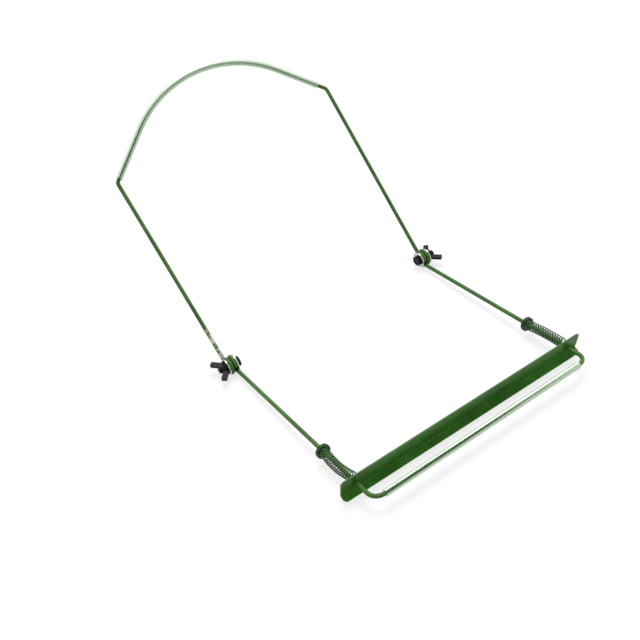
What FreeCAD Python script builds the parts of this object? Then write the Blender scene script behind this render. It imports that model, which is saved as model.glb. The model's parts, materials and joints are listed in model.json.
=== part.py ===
"""Wire neck holder: a neck yoke and a front frame on two pivots, with a sprung clamp plate.

Everything is drawn with the fold axis along X through the drawing's origin, the front arms
running towards -Y and the yoke rising towards +Y. Every sub-part is then stood on its resting
surface, where it touches with the lip of the clamp plate and with the wire eyes.
"""

import FreeCAD, Part

import math
import os

import Sketcher

Vector = FreeCAD.Vector
Placement = FreeCAD.Placement
Rotation = FreeCAD.Rotation

X_AXIS = Vector(1, 0, 0)
Y_AXIS = Vector(0, 1, 0)
Z_AXIS = Vector(0, 0, 1)

# Driving dimensions in millimetres. Names that end in angle or sweep are degrees, and names that
# end in turns or share are plain numbers.
SIZES = {
    # bent wires
    "wire_diameter": 3.2,
    "arm_spacing": 191.0,
    "arm_length": 189.3,
    "arm_drop": 3.75,
    "bar_corner_radius": 8.0,
    "eye_radius": 5.9,
    "eye_neck_radius": 5.0,
    "front_eye_tail_angle": 175.0,
    "yoke_eye_sweep": 285.0,
    # neck yoke
    "yoke_arm_length": 171.9,
    "yoke_corner_spread": 3.5,
    "yoke_angle": 49.1,
    "flare_start": 12.0,
    "flare_radius": 60.0,
    "neck_bend_radius": 4.0,
    "neck_leg_length": 47.4,
    "neck_leg_angle": 41.0,
    "neck_tilt_angle": 14.9,
    # clear sleeves
    "sleeve_diameter": 5.1,
    "sleeve_clearance": 0.15,
    "neck_sleeve_start": 3.6,
    "neck_sleeve_end": 9.0,
    "bar_sleeve_gap": 0.6,
    # clamp plate
    "plate_end_reach": 11.4,
    "plate_height": 18.0,
    "plate_thickness": 1.0,
    "plate_lip": 6.3,
    "plate_bend_radius": 0.8,
    "plate_hole_drop": 8.2,
    "plate_hole_diameter": 4.4,
    "plate_corner_cut": 2.4,
    "plate_lip_corner_radius": 3.0,
    "plate_position": 167.7,
    "plate_lean_angle": 18.0,
    "plate_cock_angle": 0.5,
    # stop collars
    "collar_position": 127.6,
    "collar_diameter": 11.3,
    "collar_floor": 1.3,
    "collar_depth": 2.4,
    "collar_recess_diameter": 9.0,
    "collar_groove_depth": 0.6,
    "collar_groove_width": 0.4,
    "collar_edge_radius": 0.3,
    "collar_press_clearance": 0.02,
    # springs
    "spring_diameter": 8.0,
    "spring_wire": 0.9,
    "spring_turns": 15,
    "spring_lead": 2.0,
    "spring_start_angle": 60.0,
    "spring_lead_angle": 55.0,
    "spring_stray_angle": 40.0,
    "spring_bow_left": 1.65,
    "spring_bow_right": -0.58,
    "spring_rise_left": 1.15,
    "spring_rise_right": 1.05,
    # pivot bolts and washers
    "bolt_diameter": 5.0,
    "bolt_head_flats": 8.0,
    "bolt_head_height": 3.0,
    "bolt_head_chamfer": 0.5,
    "bolt_recess_diameter": 5.0,
    "bolt_recess_depth": 0.5,
    "bolt_end_chamfer": 0.6,
    "bolt_end_length": 2.0,
    "washer_diameter": 13.4,
    "washer_bore": 5.3,
    "washer_thickness": 0.8,
    "friction_washer_diameter": 12.6,
    "friction_washer_thickness": 0.5,
    "running_gap": 0.05,
    # wing nuts
    "nut_base_diameter": 11.6,
    "nut_base_height": 1.2,
    "nut_foot_diameter": 7.4,
    "nut_top_diameter": 6.6,
    "nut_barrel_height": 4.8,
    "nut_bore_clearance": 0.05,
    "nut_span": 24.0,
    "nut_height": 10.0,
    "nut_wing_thickness": 2.2,
    "nut_wing_seat_gap": 0.8,
    "nut_wing_knee": 6.4,
    "nut_wing_knee_height": 1.4,
    "nut_wing_tip_run": 2.8,
    "nut_wing_tip_rise": 3.4,
    "nut_wing_tip_radius": 0.8,
    "nut_turn_angle_left": 9.0,
    "nut_turn_angle_right": 7.0,
    # how far a cut runs past the material
    "overrun": 1.0,
}

# Parts of a turn or of a path, used where a curve is drawn or measured.
ARCS_PER_TURN = 4
GAP_POINTS_PER_ARC = 3

# Share of the wire's radius within which two places count as the same.
MATCH_SHARE = 0.02


class Size:
    """A sheet size, or a sum of them, as both its value and its formula."""

    def __init__(self, value, formula):
        self.value = value
        self.formula = formula

    def __add__(self, other):
        return Size(self.value + other.value, f"({self.formula} + {other.formula})")

    def __sub__(self, other):
        return Size(self.value - other.value, f"({self.formula} - {other.formula})")

    def __mul__(self, factor):
        return Size(self.value * factor, f"({self.formula} * {factor})")

    def __truediv__(self, factor):
        return Size(self.value / factor, f"({self.formula} / {factor})")

    def __neg__(self):
        return Size(-self.value, f"(-{self.formula})")


doc = FreeCAD.newDocument("HarmonicaHolder")
sheet = doc.addObject("Spreadsheet::Sheet", "Sheet")
for row, (alias, number) in enumerate(SIZES.items(), start=1):
    sheet.set(f"A{row}", alias)
    sheet.set(f"B{row}", str(number))
    sheet.setAlias(f"B{row}", alias)
doc.recompute()

size = {alias: Size(float(getattr(sheet, alias)), f"Sheet.{alias}") for alias in SIZES}
mm = {alias: entry.value for alias, entry in size.items()}


# Sizes that follow from the sheet

wire_radius = mm["wire_diameter"] / 2
arm_x = mm["arm_spacing"] / 2
yoke_eye_x = arm_x + mm["wire_diameter"] + mm["friction_washer_thickness"] + mm["running_gap"]
nut_seat_x = yoke_eye_x + wire_radius + mm["running_gap"] + mm["washer_thickness"]
head_seat_x = arm_x - wire_radius - mm["washer_thickness"]
yoke_corner_x = yoke_eye_x + mm["yoke_corner_spread"]
neck_leg_rise = math.radians(mm["neck_leg_angle"])
neck_leg_top_x = yoke_corner_x - mm["neck_leg_length"] * math.cos(neck_leg_rise)
neck_radius = neck_leg_top_x / math.sin(neck_leg_rise)
eye_reach = mm["eye_radius"] + mm["eye_neck_radius"]
eye_entry = 180.0 + math.degrees(math.asin((mm["arm_drop"] + mm["eye_neck_radius"]) / eye_reach))
collar_face_y = -mm["collar_position"] - mm["collar_floor"]


# The clamp plate leans back, and its play on the arms lets it stand slightly askew
plate_skew = Rotation(Z_AXIS, -mm["plate_cock_angle"])
plate_turn = plate_skew.multiply(Rotation(X_AXIS, mm["plate_lean_angle"]))


def in_side_plane(angle):
    """Unit vector across the fold axis, turned by an angle in degrees from +Y towards +Z."""
    turn = math.radians(angle)
    return Vector(0, math.cos(turn), math.sin(turn))


# Paths of lines and tangent arcs

def bend(before, corner, after, radius):
    """Start, middle and end of the arc that rounds a corner of a path."""
    back = (before - corner).normalize()
    ahead = (after - corner).normalize()
    half = math.acos(max(-1.0, min(1.0, back.dot(ahead)))) / 2
    reach = radius / math.tan(half)
    inward = (back + ahead).normalize()
    centre = corner + inward * (radius / math.sin(half))
    return corner + back * reach, centre - inward * radius, corner + ahead * reach


def rounded_path(points, radii):
    """Edges through points, with an arc of the given radius at each inner one."""
    edges = []
    last = points[0]
    for k, radius in enumerate(radii, start=1):
        start, middle, end = bend(points[k - 1], points[k], points[k + 1], radius)
        edges.append(Part.LineSegment(last, start).toShape())
        edges.append(Part.Arc(start, middle, end).toShape())
        last = end
    edges.append(Part.LineSegment(last, points[-1]).toShape())
    return edges


def eye_edge(centre, from_angle, to_angle):
    """Arc of a wire eye about the fold axis, between two angles in the side plane."""
    places = [from_angle, (from_angle + to_angle) / 2, to_angle]
    return Part.Arc(*[centre + in_side_plane(angle) * mm["eye_radius"] for angle in places]).toShape()


def mirrored(points):
    """The same points on the other side of the middle plane, in the opposite order."""
    return [Vector(-point.x, point.y, point.z) for point in reversed(points)]


def round_bar(edges, radius):
    """Solid of round section along a path, checked against its section times its length."""
    path = Part.Wire(edges)
    start = path.OrderedEdges[0]
    direction = start.tangentAt(start.FirstParameter)
    ring = Part.Wire(Part.makeCircle(radius, start.valueAt(start.FirstParameter), direction))
    solid = path.makePipeShell([ring], True, False)
    expected = math.pi * radius * radius * path.Length
    return solid, solid.Volume / expected


def shape_part(label, solid):
    """Sub-part that holds a bent form, drawn from sizes read out of the sheet."""
    part = doc.addObject("Part::Feature", label)
    part.Label = label
    part.Shape = solid
    return part


# PartDesign helpers

def new_body(label):
    body = doc.addObject("PartDesign::Body", label)
    body.Label = label
    return body


def new_sketch(body, role, name):
    """Sketch on one of a body's own origin planes."""
    sketch = body.newObject("Sketcher::SketchObject", name)
    plane = next(item for item in body.Origin.OriginFeatures if item.Role == role)
    sketch.AttachmentSupport = [(plane, "")]
    sketch.MapMode = "FlatFace"
    return sketch


def bind(sketch, kind, places, entry):
    """Constraint whose value is a formula of the sheet."""
    index = sketch.addConstraint(Sketcher.Constraint(kind, *places, entry.value))
    sketch.setExpression(f"Constraints[{index}]", entry.formula)


def hold(sketch, line, kind, entry, axis):
    """Keeps a line's first point at a distance from the sketch's origin, or on an axis."""
    if entry is None:
        sketch.addConstraint(Sketcher.Constraint("PointOnObject", line, 1, axis))
    elif entry.value < 0:
        bind(sketch, kind, (line, 1, -1, 1), -entry)
    else:
        bind(sketch, kind, (-1, 1, line, 1), entry)


def outline(sketch, corners):
    """Closed outline through corners, each a pair of sizes. None lies on the axis."""
    values = [[0 if entry is None else entry.value for entry in corner] for corner in corners]
    points = [Vector(across, along, 0) for across, along in values]
    first = sketch.GeometryCount
    for start, end in zip(points, points[1:] + points[:1]):
        sketch.addGeometry(Part.LineSegment(start, end), False)
    for k in range(len(points)):
        following = first + (k + 1) % len(points)
        sketch.addConstraint(Sketcher.Constraint("Coincident", first + k, 2, following, 1))
    for k, (across, along) in enumerate(corners):
        hold(sketch, first + k, "DistanceX", across, -2)
        hold(sketch, first + k, "DistanceY", along, -1)


def circle(sketch, diameter, across=None):
    """Circle on the sketch's horizontal axis, at its origin or at a distance across."""
    place = Vector(0 if across is None else across.value, 0, 0)
    index = sketch.addGeometry(Part.Circle(place, Z_AXIS, diameter.value / 2), False)
    bind(sketch, "Diameter", (index,), diameter)
    if across is None:
        sketch.addConstraint(Sketcher.Constraint("Coincident", index, 3, -1, 1))
        return
    sketch.addConstraint(Sketcher.Constraint("PointOnObject", index, 3, -1))
    if across.value < 0:
        bind(sketch, "DistanceX", (index, 3, -1, 1), -across)
    else:
        bind(sketch, "DistanceX", (-1, 1, index, 3), across)


def pad(body, sketch, length, name, middle=False):
    feature = body.newObject("PartDesign::Pad", name)
    feature.Profile = sketch
    feature.Midplane = middle
    feature.setExpression("Length", length.formula)
    return feature


def turned(body, kind, sketch, name):
    """Full turn of a profile about the sketch's vertical axis, as a solid or as a cut."""
    feature = body.newObject(kind, name)
    feature.Profile = sketch
    feature.ReferenceAxis = (sketch, ["V_Axis"])
    return feature


def edges_where(shape, wanted):
    """Names of the edges whose middle point passes a test."""
    names = []
    for index, edge in enumerate(shape.Edges, start=1):
        if wanted(edge, edge.CenterOfMass):
            names.append(f"Edge{index}")
    return names


def dress(body, kind, base, names, entry):
    """Fillet or chamfer on named edges of the last feature."""
    feature = body.newObject(kind, kind.split("::")[1])
    feature.Base = (base, names)
    feature.setExpression("Radius" if kind.endswith("Fillet") else "Size", entry.formula)
    return feature


def near(value, target):
    """True where a measured place agrees with a named one, within a share of the wire."""
    return abs(value - target) < wire_radius * MATCH_SHARE


# Bent wires

def eye_neck(eye):
    """Arc that leads from an arm into its eye. Its centre lies below the arm."""
    centre = eye + in_side_plane(eye_entry) * eye_reach
    ends = [90.0, (90.0 + eye_entry - 180.0) / 2, eye_entry - 180.0]
    return [centre + in_side_plane(angle) * mm["eye_neck_radius"] for angle in ends]


def front_frame_wire():
    """One wire: eye, arm, corner, front bar, corner, arm, eye."""
    right_eye = Vector(arm_x, 0, 0)
    left_eye = Vector(-arm_x, 0, 0)
    tail = mm["front_eye_tail_angle"] + 360.0
    right_neck = eye_neck(right_eye)
    corner = Vector(arm_x, -mm["arm_length"], -mm["arm_drop"])
    points = [right_neck[0], corner]
    path = [eye_edge(right_eye, tail, eye_entry)]
    path.append(Part.Arc(*right_neck[::-1]).toShape())
    path += rounded_path(points + mirrored(points), [mm["bar_corner_radius"]] * 2)
    path.append(Part.Arc(*eye_neck(left_eye)).toShape())
    path.append(eye_edge(left_eye, eye_entry, tail))
    solid, fill = round_bar(path, wire_radius)
    print(f"front_frame_wire volume over section times length {fill:.4f}")
    return shape_part("front_frame_wire", solid)


def yoke_points():
    """Right half of the yoke's route: eye tangent, flare, neck corner and top of the leg."""
    along = in_side_plane(mm["yoke_angle"])
    under = in_side_plane(mm["yoke_angle"] - 90.0) * mm["eye_radius"]
    arch_up = in_side_plane(mm["yoke_angle"] + mm["neck_tilt_angle"])
    eye = Vector(yoke_eye_x, 0, 0)
    start = eye + under
    flare = start + along * mm["flare_start"]
    corner = Vector(yoke_corner_x, 0, 0) + under + along * mm["yoke_arm_length"]
    leg = X_AXIS * -math.cos(neck_leg_rise) + arch_up * math.sin(neck_leg_rise)
    top = corner + leg * mm["neck_leg_length"]
    crown_rise = neck_radius * (1 - math.cos(neck_leg_rise))
    crown = Vector(0, top.y, top.z) + arch_up * crown_rise
    return start, flare, corner, leg, top, crown


def neck_arc(top, crown):
    """The arch's round stretch, from the right leg over the crown to the left leg."""
    return Part.Arc(top, crown, Vector(-top.x, top.y, top.z)).toShape()


def neck_yoke_wire():
    """One wire: eye, arm, bend, arch, bend, arm, eye."""
    start, flare, corner, leg, top, crown = yoke_points()
    under = mm["yoke_angle"] - 90.0
    tail = under - mm["yoke_eye_sweep"]
    half = [start, flare, corner, top]
    radii = [mm["flare_radius"], mm["neck_bend_radius"]]
    path = [eye_edge(Vector(yoke_eye_x, 0, 0), tail, under)]
    path += rounded_path(half, radii)
    path.append(neck_arc(top, crown))
    path += rounded_path(mirrored(half), radii[::-1])
    path.append(eye_edge(Vector(-yoke_eye_x, 0, 0), under, tail))
    solid, fill = round_bar(path, wire_radius)
    print(f"neck_yoke_wire volume over section times length {fill:.4f}, arch radius {neck_radius:.1f}")
    return shape_part("neck_yoke_wire", solid)


def neck_sleeve():
    """Clear tube over the arch, a little nearer to the left corner than to the right one."""
    start, flare, corner, leg, top, crown = yoke_points()
    right_end = corner + leg * mm["neck_sleeve_end"]
    left_end = mirrored([corner + leg * mm["neck_sleeve_start"]])[0]
    left_top = mirrored([top])[0]
    path = [
        Part.LineSegment(right_end, top).toShape(),
        neck_arc(top, crown),
        Part.LineSegment(left_top, left_end).toShape(),
    ]
    outer, outer_fill = round_bar(path, mm["sleeve_diameter"] / 2)
    inner, inner_fill = round_bar(path, wire_radius + mm["sleeve_clearance"])
    print(f"neck_sleeve volumes over section times length {outer_fill:.4f} {inner_fill:.4f}")
    return shape_part("neck_sleeve", outer.cut(inner))


def bar_sleeve():
    """Clear tube over the front bar, between the two rounded corners."""
    body = new_body("bar_sleeve")
    ring = new_sketch(body, "YZ_Plane", "BarSleeveRing")
    circle(ring, size["sleeve_diameter"])
    circle(ring, size["wire_diameter"] + size["sleeve_clearance"] * 2)
    reach = size["arm_spacing"] - (size["bar_corner_radius"] + size["bar_sleeve_gap"]) * 2
    pad(body, ring, reach, "BarSleeveTube", middle=True)
    return body


# Clamp plate

def clamp_plate():
    """Sheet angle with a lip folded towards the bar and a hole for each arm."""
    body = new_body("clamp_plate")
    length = size["arm_spacing"] + size["plate_end_reach"] * 2
    half = size["plate_thickness"] / 2
    top = size["plate_hole_drop"]
    foot = top - size["plate_height"]
    section = new_sketch(body, "YZ_Plane", "PlateSection")
    outline(section, [
        (half, foot),
        (half, top),
        (-half, top),
        (-half, foot + size["plate_thickness"]),
        (half - size["plate_lip"], foot + size["plate_thickness"]),
        (half - size["plate_lip"], foot),
    ])
    strip = pad(body, section, length, "PlateStrip", middle=True)
    doc.recompute()

    foot_z = foot.value
    inner_z = foot_z + mm["plate_thickness"]

    def along_plate(at, y, z):
        return near(at.x, 0) and near(at.y, y) and near(at.z, z)

    inner = edges_where(strip.Shape, lambda edge, at: along_plate(at, -half.value, inner_z))
    inside = dress(body, "PartDesign::Fillet", strip, inner, size["plate_bend_radius"])
    doc.recompute()
    outer = edges_where(inside.Shape, lambda edge, at: along_plate(at, half.value, foot_z))
    outer_radius = size["plate_bend_radius"] + size["plate_thickness"]
    outside = dress(body, "PartDesign::Fillet", inside, outer, outer_radius)
    doc.recompute()

    def at_end(at):
        return near(abs(at.x), length.value / 2)

    corners = edges_where(outside.Shape, lambda edge, at: at_end(at) and near(at.z, top.value))
    trimmed = dress(body, "PartDesign::Chamfer", outside, corners, size["plate_corner_cut"])
    doc.recompute()
    tip_y = half.value - mm["plate_lip"]
    tips = edges_where(trimmed.Shape, lambda edge, at: at_end(at) and near(at.y, tip_y))
    dress(body, "PartDesign::Fillet", trimmed, tips, size["plate_lip_corner_radius"])
    doc.recompute()

    holes = new_sketch(body, "XZ_Plane", "PlateHoles")
    circle(holes, size["plate_hole_diameter"], size["arm_spacing"] / 2)
    circle(holes, size["plate_hole_diameter"], -(size["arm_spacing"] / 2))
    before = body.Shape.Volume
    cut = body.newObject("PartDesign::Pocket", "PlateHoleCut")
    cut.Profile = holes
    cut.Midplane = True
    cut.setExpression("Length", (size["plate_thickness"] + size["overrun"] * 2).formula)
    doc.recompute()
    punched = math.pi * (mm["plate_hole_diameter"] / 2) ** 2 * mm["plate_thickness"] * 2
    print(f"clamp_plate holes cut {(before - body.Shape.Volume) / punched:.4f} of their volume")
    return body


# Stop collars

def stop_collar(label):
    """Dished disc pressed on an arm. Its recess faces the spring."""
    body = new_body(label)
    bore = size["wire_diameter"] / 2 + size["collar_press_clearance"]
    rim = size["collar_diameter"] / 2
    recess = size["collar_recess_diameter"] / 2
    waist = rim - size["collar_groove_depth"]
    low = (size["collar_depth"] - size["collar_groove_width"]) / 2
    high = (size["collar_depth"] + size["collar_groove_width"]) / 2
    profile = new_sketch(body, "XZ_Plane", "CollarProfile")
    outline(profile, [
        (bore, None),
        (rim, None),
        (rim, low),
        (waist, low),
        (waist, high),
        (rim, high),
        (rim, size["collar_depth"]),
        (recess, size["collar_depth"]),
        (recess, size["collar_floor"]),
        (bore, size["collar_floor"]),
    ])
    disc = turned(body, "PartDesign::Revolution", profile, "CollarDisc")
    doc.recompute()

    def on_rim(edge, at):
        places = [0, low.value, high.value, mm["collar_depth"]]
        wide = near(edge.BoundBox.XMax, rim.value)
        return wide and any(near(at.z, place) for place in places)

    dress(body, "PartDesign::Fillet", disc, edges_where(disc.Shape, on_rim), size["collar_edge_radius"])
    return body


# Compression springs

def arc_through(start, control, end):
    """Arc from start to end that is tangent to both legs of the control triangle."""
    middle = (start + end) / 2
    half_chord = (end - start).Length / 2
    leg = (control - start).Length
    turn = math.acos(min(1.0, half_chord / leg))
    rise = (control - middle).normalize() * (half_chord * math.tan(turn / 2))
    return Part.Arc(start, middle + rise, end).toShape()


def biarc(start, start_way, end, end_way):
    """Two tangent arcs between two points with given directions."""
    chord = end - start
    ways = start_way + end_way
    spread = 2 * (1 - start_way.dot(end_way))
    reach = chord.dot(ways)
    leg = (math.sqrt(reach * reach + spread * chord.dot(chord)) - reach) / spread
    first = start + start_way * leg
    second = end - end_way * leg
    joint = (first + second) / 2
    return [arc_through(start, first, joint), arc_through(joint, second, end)]


def spring_path(side, bow, rise):
    """One spring's centre line, from the collar's recess to the back of the clamp plate."""
    arm = Vector(side * arm_x, 0, -mm["arm_drop"])
    radius = (mm["spring_diameter"] - mm["spring_wire"]) / 2
    plate_back = plate_turn.multVec(Y_AXIS)
    hole = plate_skew.multVec(X_AXIS * arm.x) + Vector(0, -mm["plate_position"], arm.z)
    lean = math.radians(mm["spring_stray_angle"])
    aside = X_AXIS * math.cos(lean) + Z_AXIS * math.sin(lean)

    def ring_point(angle):
        turn = math.radians(angle)
        return (X_AXIS * math.cos(turn) + Z_AXIS * math.sin(turn)) * radius

    foot = Vector(arm.x, hole.y, arm.z) + aside * rise + ring_point(-90.0)
    gap = (foot - hole).dot(plate_back) - mm["plate_thickness"] / 2
    foot_on_plate = foot - Y_AXIS * (gap / plate_back.y)
    start_y = collar_face_y - mm["spring_lead"]
    end_y = foot_on_plate.y + mm["spring_lead"]
    first_angle = mm["spring_start_angle"] + mm["spring_lead_angle"]
    last_angle = -90.0 - mm["spring_lead_angle"] + 360.0 * mm["spring_turns"]
    count = round((last_angle - first_angle) / 360.0 * ARCS_PER_TURN)

    def coil(share):
        """Point of the coil. Its axis bows between the ends and strays aside towards the plate."""
        angle = first_angle + (last_angle - first_angle) * share
        stray = aside * (rise * share - bow * math.sin(math.pi * share))
        return Vector(arm.x, start_y + (end_y - start_y) * share, arm.z) + ring_point(angle) + stray

    def way(share):
        """Direction of the coil at a share of its length."""
        turn = math.radians(first_angle + (last_angle - first_angle) * share)
        sweep = math.radians(last_angle - first_angle) * radius
        round_it = (X_AXIS * -math.sin(turn) + Z_AXIS * math.cos(turn)) * sweep
        stray = aside * (rise - bow * math.pi * math.cos(math.pi * share))
        return (round_it + Y_AXIS * (end_y - start_y) + stray).normalize()

    seat = Vector(arm.x, collar_face_y, arm.z) + ring_point(mm["spring_start_angle"])
    edges = [Part.LineSegment(seat, seat - Y_AXIS * mm["spring_wire"]).toShape()]
    edges += biarc(seat - Y_AXIS * mm["spring_wire"], -Y_AXIS, coil(0), way(0))
    shares = [k / count for k in range(count + 1)]
    for start, end in zip(shares, shares[1:]):
        edges += biarc(coil(start), way(start), coil(end), way(end))
    stub = foot_on_plate + plate_back * mm["spring_wire"]
    edges += biarc(coil(1), way(1), stub, -plate_back)
    edges.append(Part.LineSegment(stub, foot_on_plate).toShape())
    return edges


def least_gap(edges, wire):
    """Least distance between turns of a path, surface to surface, measured on points."""
    points = []
    lengths = []
    travelled = 0.0
    for edge in edges:
        for k in range(GAP_POINTS_PER_ARC):
            share = k / GAP_POINTS_PER_ARC
            span = edge.LastParameter - edge.FirstParameter
            points.append(edge.valueAt(edge.FirstParameter + span * share))
            lengths.append(travelled + edge.Length * share)
        travelled += edge.Length
    half_turn = math.pi * (mm["spring_diameter"] - wire) / 2
    least = travelled
    for k, point in enumerate(points):
        for j in range(k + 1, len(points)):
            if lengths[j] - lengths[k] > half_turn:
                least = min(least, point.distanceToPoint(points[j]))
    return least - wire


def spring(label, side, bow, rise):
    edges = spring_path(side, bow, rise)
    bends = [edge.Curve.Radius for edge in edges if hasattr(edge.Curve, "Radius")]
    solid, fill = round_bar(edges, mm["spring_wire"] / 2)
    print(
        f"{label} volume over section times length {fill:.4f}, least bend radius {min(bends):.2f},"
        f" least gap to itself {least_gap(edges, mm['spring_wire']):.2f}"
    )
    return shape_part(label, solid)


# Pivot bolts and washers

def washer(label, diameter, bore, thickness):
    """Flat ring, drawn from its seat upwards."""
    body = new_body(label)
    ring = new_sketch(body, "XY_Plane", "WasherRing")
    circle(ring, diameter)
    circle(ring, bore)
    pad(body, ring, thickness, "WasherDisc")
    return body


def pivot_bolt(label):
    """Hexagon bolt with its head below the seat and its shank above it."""
    body = new_body(label)
    flat = size["bolt_head_flats"] / 2
    point = size["bolt_head_flats"] / math.sqrt(3)
    hexagon = new_sketch(body, "XY_Plane", "HeadHexagon")
    outline(hexagon, [
        (point, None),
        (point / 2, flat),
        (-(point / 2), flat),
        (-point, None),
        (-(point / 2), -flat),
        (point / 2, -flat),
    ])
    head = pad(body, hexagon, size["bolt_head_height"], "Head")
    head.Reversed = True

    stack = (
        size["washer_thickness"] * 2
        + size["wire_diameter"] * 2
        + size["friction_washer_thickness"]
        + size["running_gap"] * 2
    )
    length = stack + size["nut_barrel_height"] + size["bolt_end_length"]
    radius = size["bolt_diameter"] / 2
    shank = new_sketch(body, "XZ_Plane", "ShankProfile")
    outline(shank, [
        (None, None),
        (radius, None),
        (radius, length - size["bolt_end_chamfer"]),
        (radius - size["bolt_end_chamfer"], length),
        (None, length),
    ])
    turned(body, "PartDesign::Revolution", shank, "Shank")

    far = size["bolt_head_height"]
    cuts = new_sketch(body, "XZ_Plane", "HeadCuts")
    outline(cuts, [
        (flat, -far - size["overrun"]),
        (point + size["overrun"], -far - size["overrun"]),
        (point + size["overrun"], -far + size["bolt_head_chamfer"]),
        (point, -far + size["bolt_head_chamfer"]),
        (flat, -far),
    ])
    outline(cuts, [
        (None, -far - size["overrun"]),
        (size["bolt_recess_diameter"] / 2, -far - size["overrun"]),
        (size["bolt_recess_diameter"] / 2, -far + size["bolt_recess_depth"]),
        (None, -far + size["bolt_recess_depth"]),
    ])
    turned(body, "PartDesign::Groove", cuts, "HeadTurned")
    return body


# Wing nuts

def wing_nut(label):
    """Flanged barrel with two upswept wings, drawn from its seat upwards."""
    body = new_body(label)
    bore = size["bolt_diameter"] / 2 + size["nut_bore_clearance"]
    profile = new_sketch(body, "XZ_Plane", "BarrelProfile")
    outline(profile, [
        (bore, None),
        (size["nut_base_diameter"] / 2, None),
        (size["nut_base_diameter"] / 2, size["nut_base_height"]),
        (size["nut_foot_diameter"] / 2, size["nut_base_height"]),
        (size["nut_top_diameter"] / 2, size["nut_barrel_height"]),
        (bore, size["nut_barrel_height"]),
    ])
    turned(body, "PartDesign::Revolution", profile, "Barrel")

    root = size["nut_top_diameter"] / 2 - size["nut_wing_seat_gap"] / 2
    tip = size["nut_span"] / 2
    corners = [
        (root, size["nut_wing_seat_gap"]),
        (size["nut_wing_knee"], size["nut_wing_knee_height"]),
        (tip, size["nut_height"] - size["nut_wing_tip_rise"]),
        (tip - size["nut_wing_tip_run"], size["nut_height"]),
        (root, size["nut_barrel_height"] - size["nut_wing_seat_gap"] / 2),
    ]
    wings = new_sketch(body, "XZ_Plane", "WingOutline")
    outline(wings, corners)
    outline(wings, [(-across, along) for across, along in corners])
    blades = pad(body, wings, size["nut_wing_thickness"], "Wings", middle=True)
    doc.recompute()

    def on_tip(edge, at):
        crosswise = near(edge.BoundBox.XLength, 0) and near(edge.BoundBox.ZLength, 0)
        return crosswise and abs(at.x) > mm["nut_base_diameter"] / 2

    names = edges_where(blades.Shape, on_tip)
    dress(body, "PartDesign::Fillet", blades, names, size["nut_wing_tip_radius"])
    return body


# Assembly in the drawing's frame

def turn_to(direction):
    """Rotation that points a sub-part's own +Z along a direction."""
    return Rotation(Z_AXIS, direction)


SIDES = {"left": -1, "right": 1}

places = {}
places[front_frame_wire()] = Placement()
places[neck_yoke_wire()] = Placement()
places[neck_sleeve()] = Placement()
bar_centre = Vector(0, -mm["arm_length"], -mm["arm_drop"])
places[bar_sleeve()] = Placement(bar_centre, Rotation())
hole_centre = Vector(0, -mm["plate_position"], -mm["arm_drop"])
plate_place = Placement(hole_centre, plate_turn)
places[clamp_plate()] = plate_place

for name, side in SIDES.items():
    outward = X_AXIS * side
    arm = Vector(side * arm_x, 0, -mm["arm_drop"])
    collar = stop_collar(f"stop_collar_{name}")
    places[collar] = Placement(arm - Y_AXIS * mm["collar_position"], turn_to(-Y_AXIS))
    form = [mm[f"spring_bow_{name}"], mm[f"spring_rise_{name}"]]
    places[spring(f"spring_{name}", side, *form)] = Placement()

    bolt = pivot_bolt(f"pivot_bolt_{name}")
    places[bolt] = Placement(outward * head_seat_x, turn_to(outward))
    flat_ring = [size["washer_diameter"], size["washer_bore"], size["washer_thickness"]]
    head_washer = washer(f"head_washer_{name}", *flat_ring)
    places[head_washer] = Placement(outward * head_seat_x, turn_to(outward))
    friction_washer = washer(
        f"friction_washer_{name}",
        size["friction_washer_diameter"],
        size["washer_bore"],
        size["friction_washer_thickness"],
    )
    places[friction_washer] = Placement(outward * (arm_x + wire_radius), turn_to(outward))
    nut_washer = washer(f"nut_washer_{name}", *flat_ring)
    places[nut_washer] = Placement(outward * (nut_seat_x - mm["washer_thickness"]), turn_to(outward))
    nut = wing_nut(f"wing_nut_{name}")
    turn = Rotation(X_AXIS, mm[f"nut_turn_angle_{name}"] + 90.0)
    places[nut] = Placement(outward * (nut_seat_x + mm["running_gap"]), turn.multiply(turn_to(outward)))

doc.recompute()


# Standing pose: the lip's lower edge and the wire eyes touch the surface

plate_half = arm_x + mm["plate_end_reach"]
lip_y = mm["plate_thickness"] / 2 - mm["plate_lip"]
lip_z = mm["plate_hole_drop"] - mm["plate_height"]
lip_ends = [plate_place.multVec(Vector(side * plate_half, lip_y, lip_z)) for side in SIDES.values()]
lip_foot = max(lip_ends, key=lambda point: point.y)
eye_foot = mm["eye_radius"] + wire_radius
lip_angle = math.atan2(-lip_foot.z, -lip_foot.y)
eye_angle = math.asin(eye_foot / math.hypot(lip_foot.y, lip_foot.z))
stand_turn = Rotation(X_AXIS, -math.degrees(lip_angle - eye_angle))


def stand(shift):
    """Moves every sub-part from its place in the drawing to the standing pose."""
    for part, place in places.items():
        part.Placement = Placement(shift, stand_turn).multiply(place)


stand(Z_AXIS * eye_foot)
doc.recompute()
whole = FreeCAD.BoundBox()
for part in places:
    whole.add(part.Shape.optimalBoundingBox(False, False))
centring = Vector(-whole.Center.x, -whole.Center.y, eye_foot)
stand(centring)
doc.recompute()


# Checks, then one file for each sub-part

for item in doc.Objects:
    if "Invalid" in item.State or "Error" in item.State:
        raise RuntimeError(f"{item.Label} failed to build: {item.State}")
os.makedirs("parts", exist_ok=True)
for part in places:
    if part.Shape.isNull() or not part.Shape.isValid():
        raise RuntimeError(f"{part.Label} has no valid shape")
    if len(part.Shape.Solids) != 1:
        raise RuntimeError(f"{part.Label} has {len(part.Shape.Solids)} solids")
    part.Shape.exportStep(f"parts/{part.Label}.step")

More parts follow.
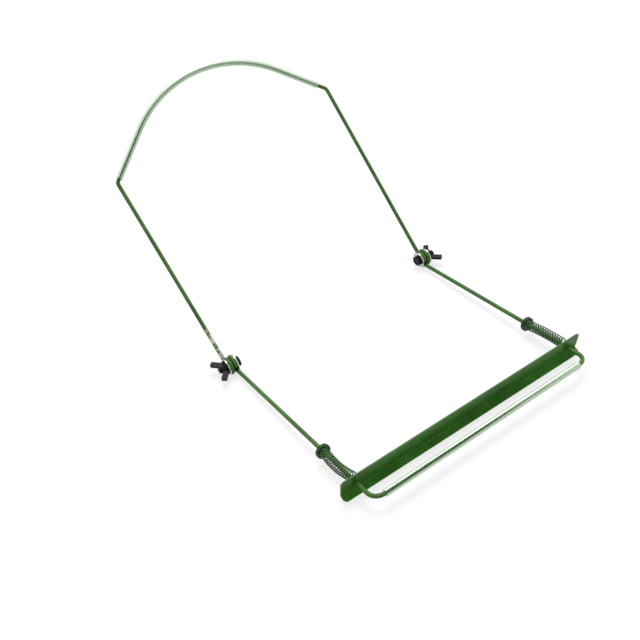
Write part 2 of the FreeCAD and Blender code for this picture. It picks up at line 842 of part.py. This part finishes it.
print(f"{len(places)} sub-parts, fold axis at y {centring.y:.3f} z {centring.z:.3f}")
print(f"stands turned by {stand_turn.Angle:.6f} rad about {tuple(stand_turn.Axis)}")
print(f"box {whole.XLength:.2f} x {whole.YLength:.2f} x {whole.ZLength:.2f}")
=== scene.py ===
"""Looks of the wire neck holder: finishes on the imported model, floor, light and camera."""

import json
import math

import bpy
from mathutils import Matrix, Vector


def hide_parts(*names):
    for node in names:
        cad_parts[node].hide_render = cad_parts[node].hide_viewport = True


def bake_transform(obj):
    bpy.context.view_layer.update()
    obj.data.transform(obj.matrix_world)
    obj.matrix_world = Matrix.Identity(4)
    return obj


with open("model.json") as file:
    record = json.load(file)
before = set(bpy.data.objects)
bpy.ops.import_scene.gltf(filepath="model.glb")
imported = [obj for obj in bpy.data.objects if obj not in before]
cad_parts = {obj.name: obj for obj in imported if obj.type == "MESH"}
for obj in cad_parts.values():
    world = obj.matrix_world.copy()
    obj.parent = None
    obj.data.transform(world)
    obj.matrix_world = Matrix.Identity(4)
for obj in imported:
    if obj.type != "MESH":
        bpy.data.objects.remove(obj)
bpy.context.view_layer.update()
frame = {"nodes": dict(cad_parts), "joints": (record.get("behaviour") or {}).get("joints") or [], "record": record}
nodes = frame["nodes"]
joints = {joint["name"]: joint for joint in frame["joints"]}
SIDES = {"left": -1, "right": 1}

# The drawing's own axes, read from the joints. ALONG points from the front bar towards the
# pivots, so places on the front arms are negative along it.
PIVOT = Vector(joints["yoke_fold"]["pos_m"])
ACROSS = Vector(joints["yoke_fold"]["axis"])
ALONG = Vector(joints["clamp_slide"]["axis"]).normalized()
RISE = ACROSS.cross(ALONG).normalized()
ARM_DROP = 0.00375


def at(across, along, rise):
    """Row-frame point of a place given on the drawing's own axes, in metres."""
    return PIVOT + ACROSS * across + ALONG * along + RISE * rise


# Camera: fitted to the straight runs and corners of the two wires

CAMERA_PLACE = at(-0.274683, -0.545956, 0.437003 - ARM_DROP)
CAMERA_TARGET = at(-0.012848, -0.000992, -ARM_DROP)
CAMERA_ROLL = math.radians(-13.5417)
CAMERA_LENS = 50.85
CAMERA_NEAR = 0.01
CAMERA_FAR = 50.0
SENSOR_WIDTH = 36.0


def make_camera():
    data = bpy.data.cameras.new("camera")
    data.lens = CAMERA_LENS
    data.sensor_width = SENSOR_WIDTH
    data.clip_start = CAMERA_NEAR
    data.clip_end = CAMERA_FAR
    camera = bpy.data.objects.new("camera", data)
    bpy.context.scene.collection.objects.link(camera)
    forward = (CAMERA_TARGET - CAMERA_PLACE).normalized()
    level = forward.cross(RISE).normalized()
    upright = level.cross(forward)
    right = level * math.cos(CAMERA_ROLL) + upright * math.sin(CAMERA_ROLL)
    top = right.cross(forward)
    turn = Matrix((right, top, -forward)).transposed().to_4x4()
    camera.matrix_world = Matrix.Translation(CAMERA_PLACE) @ turn
    bpy.context.scene.camera = camera


make_camera()


# Node trees

MAP_SOCKETS = ("From Min", "From Max", "To Min", "To Max")
BEVEL_SAMPLES = 4


class Tree:
    """A material's node tree, with short calls for the nodes that the finishes use."""

    def __init__(self, name):
        self.material = bpy.data.materials.new(name)
        self.material.use_nodes = True
        self.nodes = self.material.node_tree.nodes
        self.links = self.material.node_tree.links
        self.nodes.clear()
        self.output = self.nodes.new("ShaderNodeOutputMaterial")
        self.object_space = self.nodes.new("ShaderNodeTexCoord").outputs["Object"]

    def join(self, source, target):
        self.links.new(source, target)

    def feed(self, value, socket):
        """Link an output to the socket, or write a plain number or colour on it."""
        if isinstance(value, (int, float)):
            socket.default_value = value
        elif isinstance(value, tuple):
            socket.default_value = (*value, 1.0)
        else:
            self.join(value, socket)

    def shader(self, **settings):
        """Principled shader with plain values set on its own sockets."""
        node = self.nodes.new("ShaderNodeBsdfPrincipled")
        for key, value in settings.items():
            node.inputs[key.replace("_", " ")].default_value = value
        self.join(node.outputs[0], self.output.inputs["Surface"])
        return node

    def stretched(self, scale):
        """The object's own space, scaled differently along each axis."""
        node = self.nodes.new("ShaderNodeMapping")
        node.inputs["Scale"].default_value = scale
        self.join(self.object_space, node.inputs["Vector"])
        return node.outputs[0]

    def noise(self, scale, detail=3.0, roughness=0.6, space=None):
        """Noise with scale as the number of its cells in a metre."""
        node = self.nodes.new("ShaderNodeTexNoise")
        node.inputs["Scale"].default_value = scale
        node.inputs["Detail"].default_value = detail
        node.inputs["Roughness"].default_value = roughness
        self.join(space or self.object_space, node.inputs["Vector"])
        return node.outputs["Fac"]

    def near(self, place, inner, outer):
        """1 within inner metres of a place in the object's space, and 0 past outer metres."""
        node = self.nodes.new("ShaderNodeVectorMath")
        node.operation = "DISTANCE"
        self.join(self.object_space, node.inputs[0])
        node.inputs[1].default_value = place
        return self.ranged(node.outputs["Value"], outer, inner)

    def ranged(self, source, low, high, to_low=0.0, to_high=1.0):
        """source mapped from low..high to to_low..to_high, clamped."""
        node = self.nodes.new("ShaderNodeMapRange")
        for key, value in zip(MAP_SOCKETS, (low, high, to_low, to_high)):
            node.inputs[key].default_value = value
        self.join(source, node.inputs["Value"])
        return node.outputs["Result"]

    def math(self, operation, first, second):
        node = self.nodes.new("ShaderNodeMath")
        node.operation = operation
        self.feed(first, node.inputs[0])
        self.feed(second, node.inputs[1])
        return node.outputs[0]

    def mixed(self, amount, first, second):
        """Colour first where amount is 0 and second where it is 1."""
        node = self.nodes.new("ShaderNodeMix")
        node.data_type = "RGBA"
        sockets = [socket for socket in node.inputs if socket.enabled]
        for socket, value in zip(sockets, (amount, first, second)):
            self.feed(value, socket)
        return next(socket for socket in node.outputs if socket.enabled)

    def blended(self, amount, first, second):
        """Shader first where amount is 0 and second where it is 1."""
        node = self.nodes.new("ShaderNodeMixShader")
        for socket, value in zip(node.inputs, (amount, first, second)):
            self.join(value, socket)
        return node.outputs[0]

    def worn_edge(self, radius, flat, sharp):
        """1 on sharp edges and 0 on open faces.

        It compares the surface's normal with one rounded over radius: their cosine is above
        flat on an open face and under sharp on an edge.
        """
        rounded = self.nodes.new("ShaderNodeBevel")
        rounded.samples = BEVEL_SAMPLES
        rounded.inputs["Radius"].default_value = radius
        plain = self.nodes.new("ShaderNodeNewGeometry")
        dot = self.nodes.new("ShaderNodeVectorMath")
        dot.operation = "DOT_PRODUCT"
        self.join(rounded.outputs[0], dot.inputs[0])
        self.join(plain.outputs["Normal"], dot.inputs[1])
        return self.ranged(dot.outputs["Value"], flat, sharp)

    def bump(self, height, depth, strength, under=None):
        node = self.nodes.new("ShaderNodeBump")
        node.inputs["Strength"].default_value = strength
        node.inputs["Distance"].default_value = depth
        self.join(height, node.inputs["Height"])
        if under is not None:
            self.join(under, node.inputs["Normal"])
        return node.outputs[0]


def linear(red, green, blue):
    """Linear colour of an sRGB one given in 0 to 255."""
    def channel(value):
        share = value / 255
        return share / 12.92 if share <= 0.04045 else ((share + 0.055) / 1.055) ** 2.4
    return channel(red), channel(green), channel(blue)


# Finishes
#
# Noise lies mostly between 0.35 and 0.68, so that span is stretched to the whole range. Depths
# and radii are in metres.

CLOUD_SPAN = (0.35, 0.68)
GRAIN_SPAN = (0.35, 0.65)

# A painted highlight on the left yoke arm, just above its pivot, laid on as pale mottles
YOKE_ANGLE = math.radians(49.1)
YOKE_ARM_X = -0.1
HIGHLIGHT_ALONG = 0.0205
HIGHLIGHT_REACH = 0.0155
HIGHLIGHT_FADE = 0.002
HIGHLIGHT_PLACE = at(
    YOKE_ARM_X, HIGHLIGHT_ALONG * math.cos(YOKE_ANGLE), HIGHLIGHT_ALONG * math.sin(YOKE_ANGLE)
)
HIGHLIGHT_COLOUR = linear(206, 220, 200)

PAINT_ROUGHNESS = (0.28, 0.42)
SCUFF_SHARE = 0.25
SCUFF_ROUGHNESS = 0.25


def paint(name, deep, mid, dusty, chip, coat, gloss, highlight_at=None):
    """Gloss paint over steel: cloudy colour, dusty scuffs, rare chips and orange peel.

    The optional last argument is the middle of a place where a highlight is painted on in pale mottles.
    """
    tree = Tree(name)
    cloud = tree.ranged(tree.noise(42.0, detail=4.0), 0.36, 0.66)
    body = tree.mixed(cloud, deep, mid)
    fine = tree.ranged(tree.noise(520.0), 0.42, 0.66)
    scuffs = tree.ranged(tree.noise(70.0, roughness=0.5), 0.52, 0.70, 0.0, SCUFF_SHARE)
    scuffed = tree.math("MULTIPLY", fine, scuffs)
    body = tree.mixed(scuffed, body, dusty)
    dots = tree.ranged(tree.noise(1500.0, detail=2.0, roughness=0.4), 0.73, 0.76)
    clusters = tree.ranged(tree.noise(46.0, detail=2.0, roughness=0.5), 0.58, 0.66)
    chips = tree.math("MULTIPLY", dots, clusters)
    body = tree.mixed(chips, body, chip)
    # Painted highlight: pale mottles around the given place
    if highlight_at is not None:
        highlight_patch = tree.near(highlight_at, HIGHLIGHT_REACH - HIGHLIGHT_FADE, HIGHLIGHT_REACH)
        mottle = tree.ranged(tree.noise(290.0, detail=2.0, roughness=0.5), 0.44, 0.54)
        body = tree.mixed(tree.math("MULTIPLY", highlight_patch, mottle), body, HIGHLIGHT_COLOUR)
    shader = tree.shader(Coat_Weight=coat, Coat_Roughness=0.16, Specular_IOR_Level=gloss)
    tree.join(body, shader.inputs["Base Color"])
    rough = tree.ranged(tree.noise(240.0), *GRAIN_SPAN, *PAINT_ROUGHNESS)
    rougher = tree.math("MULTIPLY", scuffed, SCUFF_ROUGHNESS)
    tree.join(tree.math("ADD", rough, rougher), shader.inputs["Roughness"])
    peel = tree.bump(tree.noise(900.0, detail=2.0, roughness=0.5), 0.00003, 0.5)
    pits = tree.bump(tree.math("SUBTRACT", 1.0, chips), 0.00004, 1.0, peel)
    tree.join(pits, shader.inputs["Normal"])
    return tree.material


BLACK_ROUGHNESS = (0.26, 0.42)
RUBBED_SHARE = 0.25


def black_steel(name):
    """Blackened steel: blue-black and satin, a little greyer where its edges are rubbed."""
    tree = Tree(name)
    cloud = tree.ranged(tree.noise(160.0, detail=4.0), *CLOUD_SPAN)
    body = tree.mixed(cloud, linear(8, 8, 14), linear(18, 18, 26))
    edge = tree.worn_edge(0.0002, flat=0.995, sharp=0.90)
    patches = tree.ranged(tree.noise(700.0), 0.40, 0.65, 0.0, RUBBED_SHARE)
    body = tree.mixed(tree.math("MULTIPLY", edge, patches), body, linear(84, 84, 96))
    shader = tree.shader(Specular_IOR_Level=0.14)
    tree.join(body, shader.inputs["Base Color"])
    rough = tree.ranged(tree.noise(420.0), *GRAIN_SPAN, *BLACK_ROUGHNESS)
    tree.join(rough, shader.inputs["Roughness"])
    tree.join(tree.bump(tree.noise(1500.0), 0.00004, 0.5), shader.inputs["Normal"])
    return tree.material


ZINC_ROUGHNESS = (0.18, 0.34)
SCRATCH_STRETCH = (60.0, 6.0, 60.0)


def bright_steel(name):
    """Zinc plate: pale and cool, with fine scratches and a faint bloom."""
    tree = Tree(name)
    bloom = tree.ranged(tree.noise(260.0, detail=4.0), *CLOUD_SPAN)
    body = tree.mixed(bloom, linear(176, 178, 178), linear(212, 214, 212))
    shader = tree.shader(Metallic=1.0)
    tree.join(body, shader.inputs["Base Color"])
    rough = tree.ranged(tree.noise(900.0), *GRAIN_SPAN, *ZINC_ROUGHNESS)
    tree.join(rough, shader.inputs["Roughness"])
    scratches = tree.noise(60.0, 4.0, 0.7, tree.stretched(SCRATCH_STRETCH))
    tree.join(tree.bump(scratches, 0.00002, 0.5), shader.inputs["Normal"])
    return tree.material


FIBRE_ROUGHNESS = (0.62, 0.82)


def dark_washer(name):
    """Dark fibre washer, matt, with a felted grain."""
    tree = Tree(name)
    grain = tree.ranged(tree.noise(1400.0, detail=4.0, roughness=0.7), *CLOUD_SPAN)
    body = tree.mixed(grain, linear(20, 28, 18), linear(44, 56, 40))
    shader = tree.shader(IOR=1.45)
    tree.join(body, shader.inputs["Base Color"])
    tree.join(tree.ranged(grain, 0.0, 1.0, *FIBRE_ROUGHNESS), shader.inputs["Roughness"])
    tree.join(tree.bump(grain, 0.00008, 0.8), shader.inputs["Normal"])
    return tree.material


# How much of a clear tube's surface looks solid, from its middle to its sides
TUBE_VEIL = 0.90
TUBE_MARKS = 0.08
TUBE_ROUGHNESS = (0.24, 0.36)
# Slants over which the tube's outline is painted a darker grey-green, as painted shade
TUBE_SHADED_RIM = (0.72, 0.96)
TUBE_TINT = linear(230, 253, 220)


def clear_tube(name, core_slant, milky_slant, core_veil):
    """Clear soft vinyl: the wire shows through its middle, and it looks milky beside that.

    A slant is 0 where the surface faces the eye and 1 at the tube's outline. The veil is
    core_veil up to core_slant and TUBE_VEIL from milky_slant on.
    """
    tree = Tree(name)
    facing = tree.nodes.new("ShaderNodeLayerWeight")
    facing.inputs["Blend"].default_value = 0.5
    slant = facing.outputs["Facing"]
    haze = tree.ranged(tree.noise(55.0, detail=4.0), *CLOUD_SPAN)
    body = tree.mixed(haze, linear(208, 246, 202), linear(222, 250, 216))
    # Painted shade: the outline is coloured darker grey-green by its slant to the eye
    body = tree.mixed(tree.ranged(slant, *TUBE_SHADED_RIM), body, linear(150, 166, 148))
    shader = tree.shader(
        IOR=1.55, Specular_IOR_Level=1.0,
        Coat_Weight=1.0, Coat_Roughness=0.2, Coat_IOR=1.6,
    )
    tree.join(body, shader.inputs["Base Color"])
    marks = tree.noise(420.0)
    rough = tree.ranged(marks, *CLOUD_SPAN, *TUBE_ROUGHNESS)
    tree.join(rough, shader.inputs["Roughness"])
    waves = tree.noise(120.0, detail=2.0, roughness=0.5)
    tree.join(tree.bump(waves, 0.00002, 0.3), shader.inputs["Normal"])
    veil = tree.ranged(slant, core_slant, milky_slant, core_veil, TUBE_VEIL)
    veil = tree.math("ADD", veil, tree.ranged(marks, *CLOUD_SPAN, 0.0, TUBE_MARKS))
    # Only walls that face outwards are milky, so a tube's far wall adds no second veil.
    inner = tree.nodes.new("ShaderNodeNewGeometry").outputs["Backfacing"]
    veil = tree.math("MULTIPLY", veil, tree.math("SUBTRACT", 1.0, inner))
    clear = tree.nodes.new("ShaderNodeBsdfTransparent")
    tree.feed(TUBE_TINT, clear.inputs["Color"])
    tube = tree.blended(veil, clear.outputs[0], shader.outputs[0])
    tree.join(tube, tree.output.inputs["Surface"])
    return tree.material


WIRE_PAINT = {
    "deep": linear(64, 108, 42),
    "mid": linear(82, 130, 56),
    "dusty": linear(128, 162, 104),
    "chip": linear(46, 62, 36),
    "coat": 0.04,
    "gloss": 0.2,
}
FINISHES = {
    "green_paint": paint("green_wire_paint", **WIRE_PAINT),
    "green_plate_paint": paint(
        "green_sheet_paint",
        deep=linear(60, 118, 38),
        mid=linear(78, 140, 52),
        dusty=linear(122, 164, 98),
        chip=linear(44, 60, 34),
        coat=0.02,
        gloss=0.1,
    ),
    "green_spring_paint": paint(
        "green_spring_coat",
        deep=linear(30, 78, 20),
        mid=linear(54, 112, 36),
        dusty=linear(104, 152, 80),
        chip=linear(36, 50, 28),
        coat=0.2,
        gloss=0.5,
    ),
    # The parts in this slot wear the same green as the wires; this darker copy of it is painted shade.
    "dark_green_paint": paint(
        "green_coat_painted_shade",
        deep=linear(20, 64, 14),
        mid=linear(34, 88, 24),
        dusty=linear(80, 126, 66),
        chip=linear(38, 50, 32),
        coat=0.12,
        gloss=0.4,
    ),
    "black_steel": black_steel("blackened_steel"),
    "bright_steel": bright_steel("zinc_plate"),
    "dark_washer": dark_washer("dark_fibre"),
    "clear_tube": clear_tube(
        "clear_vinyl", core_slant=0.03, milky_slant=0.11, core_veil=0.10
    ),
}
# Nodes whose finish differs a little from the others of their slot
NODE_FINISHES = {
    "bar_sleeve": clear_tube(
        "clear_bar_vinyl", core_slant=0.11, milky_slant=0.19, core_veil=0.06
    ),
    # The yoke wire's paint carries the painted highlight above its left pivot.
    "neck_yoke_wire": paint("green_yoke_paint", highlight_at=HIGHLIGHT_PLACE, **WIRE_PAINT),
}
SLOTS = {part["node"]: part["material_slot"] for part in frame["record"]["subparts"]}

for name, node in nodes.items():
    finish = NODE_FINISHES.get(name, FINISHES[SLOTS[name]])
    for place in node.material_slots:
        place.link = "DATA"
        place.material = finish


# Springs: each spring node is hidden and drawn by a copy of its mesh with its place baked in; on the real holder
# they shorten and stretch with the clamp

for name, side in SIDES.items():
    node = nodes[f"spring_{name}"]
    coil = bpy.data.objects.new(f"coil_spring_{name}", node.data.copy())
    bpy.context.scene.collection.objects.link(coil)
    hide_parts(f"spring_{name}")
    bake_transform(coil)


# Floor, world and light

WHITE = (1.0, 1.0, 1.0, 1.0)
FLOOR_SIZE = 12.0
FLOOR_TONES = ((0.28, 0.28, 0.28), (0.30, 0.30, 0.30))
FLOOR_GLOW = 0.73
WORLD_LIGHT = 0.55
WORLD_SEEN = 1.0
SUN_DIRECTION = (0.30, 0.33, 0.89)
SUN_WIDTH = math.radians(32.0)
SUN_STRENGTH = 1.7


def seen_by_rays(nodes_, links):
    """1 for camera, glossy and transmission rays, else 0."""
    path = nodes_.new("ShaderNodeLightPath")
    total = path.outputs["Is Camera Ray"]
    for key in ("Is Glossy Ray", "Is Transmission Ray"):
        node = nodes_.new("ShaderNodeMath")
        node.operation = "MAXIMUM"
        links.new(total, node.inputs[0])
        links.new(path.outputs[key], node.inputs[1])
        total = node.outputs[0]
    return total


def make_floor():
    """Pale floor that keeps the shadow and looks white to the rays that see it."""
    tree = Tree("pale_floor")
    tone = tree.ranged(tree.noise(3.0, roughness=0.5), 0.3, 0.7)
    body = tree.mixed(tone, *FLOOR_TONES)
    shader = tree.shader(Roughness=0.9, Specular_IOR_Level=0.1)
    tree.join(body, shader.inputs["Base Color"])
    glow = tree.nodes.new("ShaderNodeEmission")
    glow.inputs["Color"].default_value = WHITE
    seen = seen_by_rays(tree.nodes, tree.links)
    tree.join(tree.math("MULTIPLY", seen, FLOOR_GLOW), glow.inputs["Strength"])
    both = tree.nodes.new("ShaderNodeAddShader")
    tree.join(shader.outputs[0], both.inputs[0])
    tree.join(glow.outputs[0], both.inputs[1])
    tree.join(both.outputs[0], tree.output.inputs["Surface"])
    mesh = bpy.data.meshes.new("floor")
    half = FLOOR_SIZE / 2
    corners = [(-half, -half, 0.0), (half, -half, 0.0), (half, half, 0.0), (-half, half, 0.0)]
    mesh.from_pydata(corners, [], [(0, 1, 2, 3)])
    mesh.materials.append(tree.material)
    floor = bpy.data.objects.new("floor", mesh)
    bpy.context.scene.collection.objects.link(floor)


def make_world():
    """Even white world, plain as light and full white to the rays that see it."""
    world = bpy.data.worlds.new("studio")
    world.use_nodes = True
    bpy.context.scene.world = world
    nodes_, links = world.node_tree.nodes, world.node_tree.links
    nodes_.clear()
    output = nodes_.new("ShaderNodeOutputWorld")
    background = nodes_.new("ShaderNodeBackground")
    background.inputs["Color"].default_value = WHITE
    strength = nodes_.new("ShaderNodeMapRange")
    strength.inputs["To Min"].default_value = WORLD_LIGHT
    strength.inputs["To Max"].default_value = WORLD_SEEN
    links.new(seen_by_rays(nodes_, links), strength.inputs["Value"])
    links.new(strength.outputs["Result"], background.inputs["Strength"])
    links.new(background.outputs[0], output.inputs["Surface"])


def add_sun():
    """Soft sun that shines from SUN_DIRECTION."""
    data = bpy.data.lights.new("key_light", "SUN")
    data.angle = SUN_WIDTH
    data.energy = SUN_STRENGTH
    lamp = bpy.data.objects.new("key_light", data)
    bpy.context.scene.collection.objects.link(lamp)
    lamp.rotation_euler = Vector(SUN_DIRECTION).to_track_quat("Z", "Y").to_euler()


make_floor()
make_world()
add_sun()

bpy.context.scene.view_settings.view_transform = "Standard"
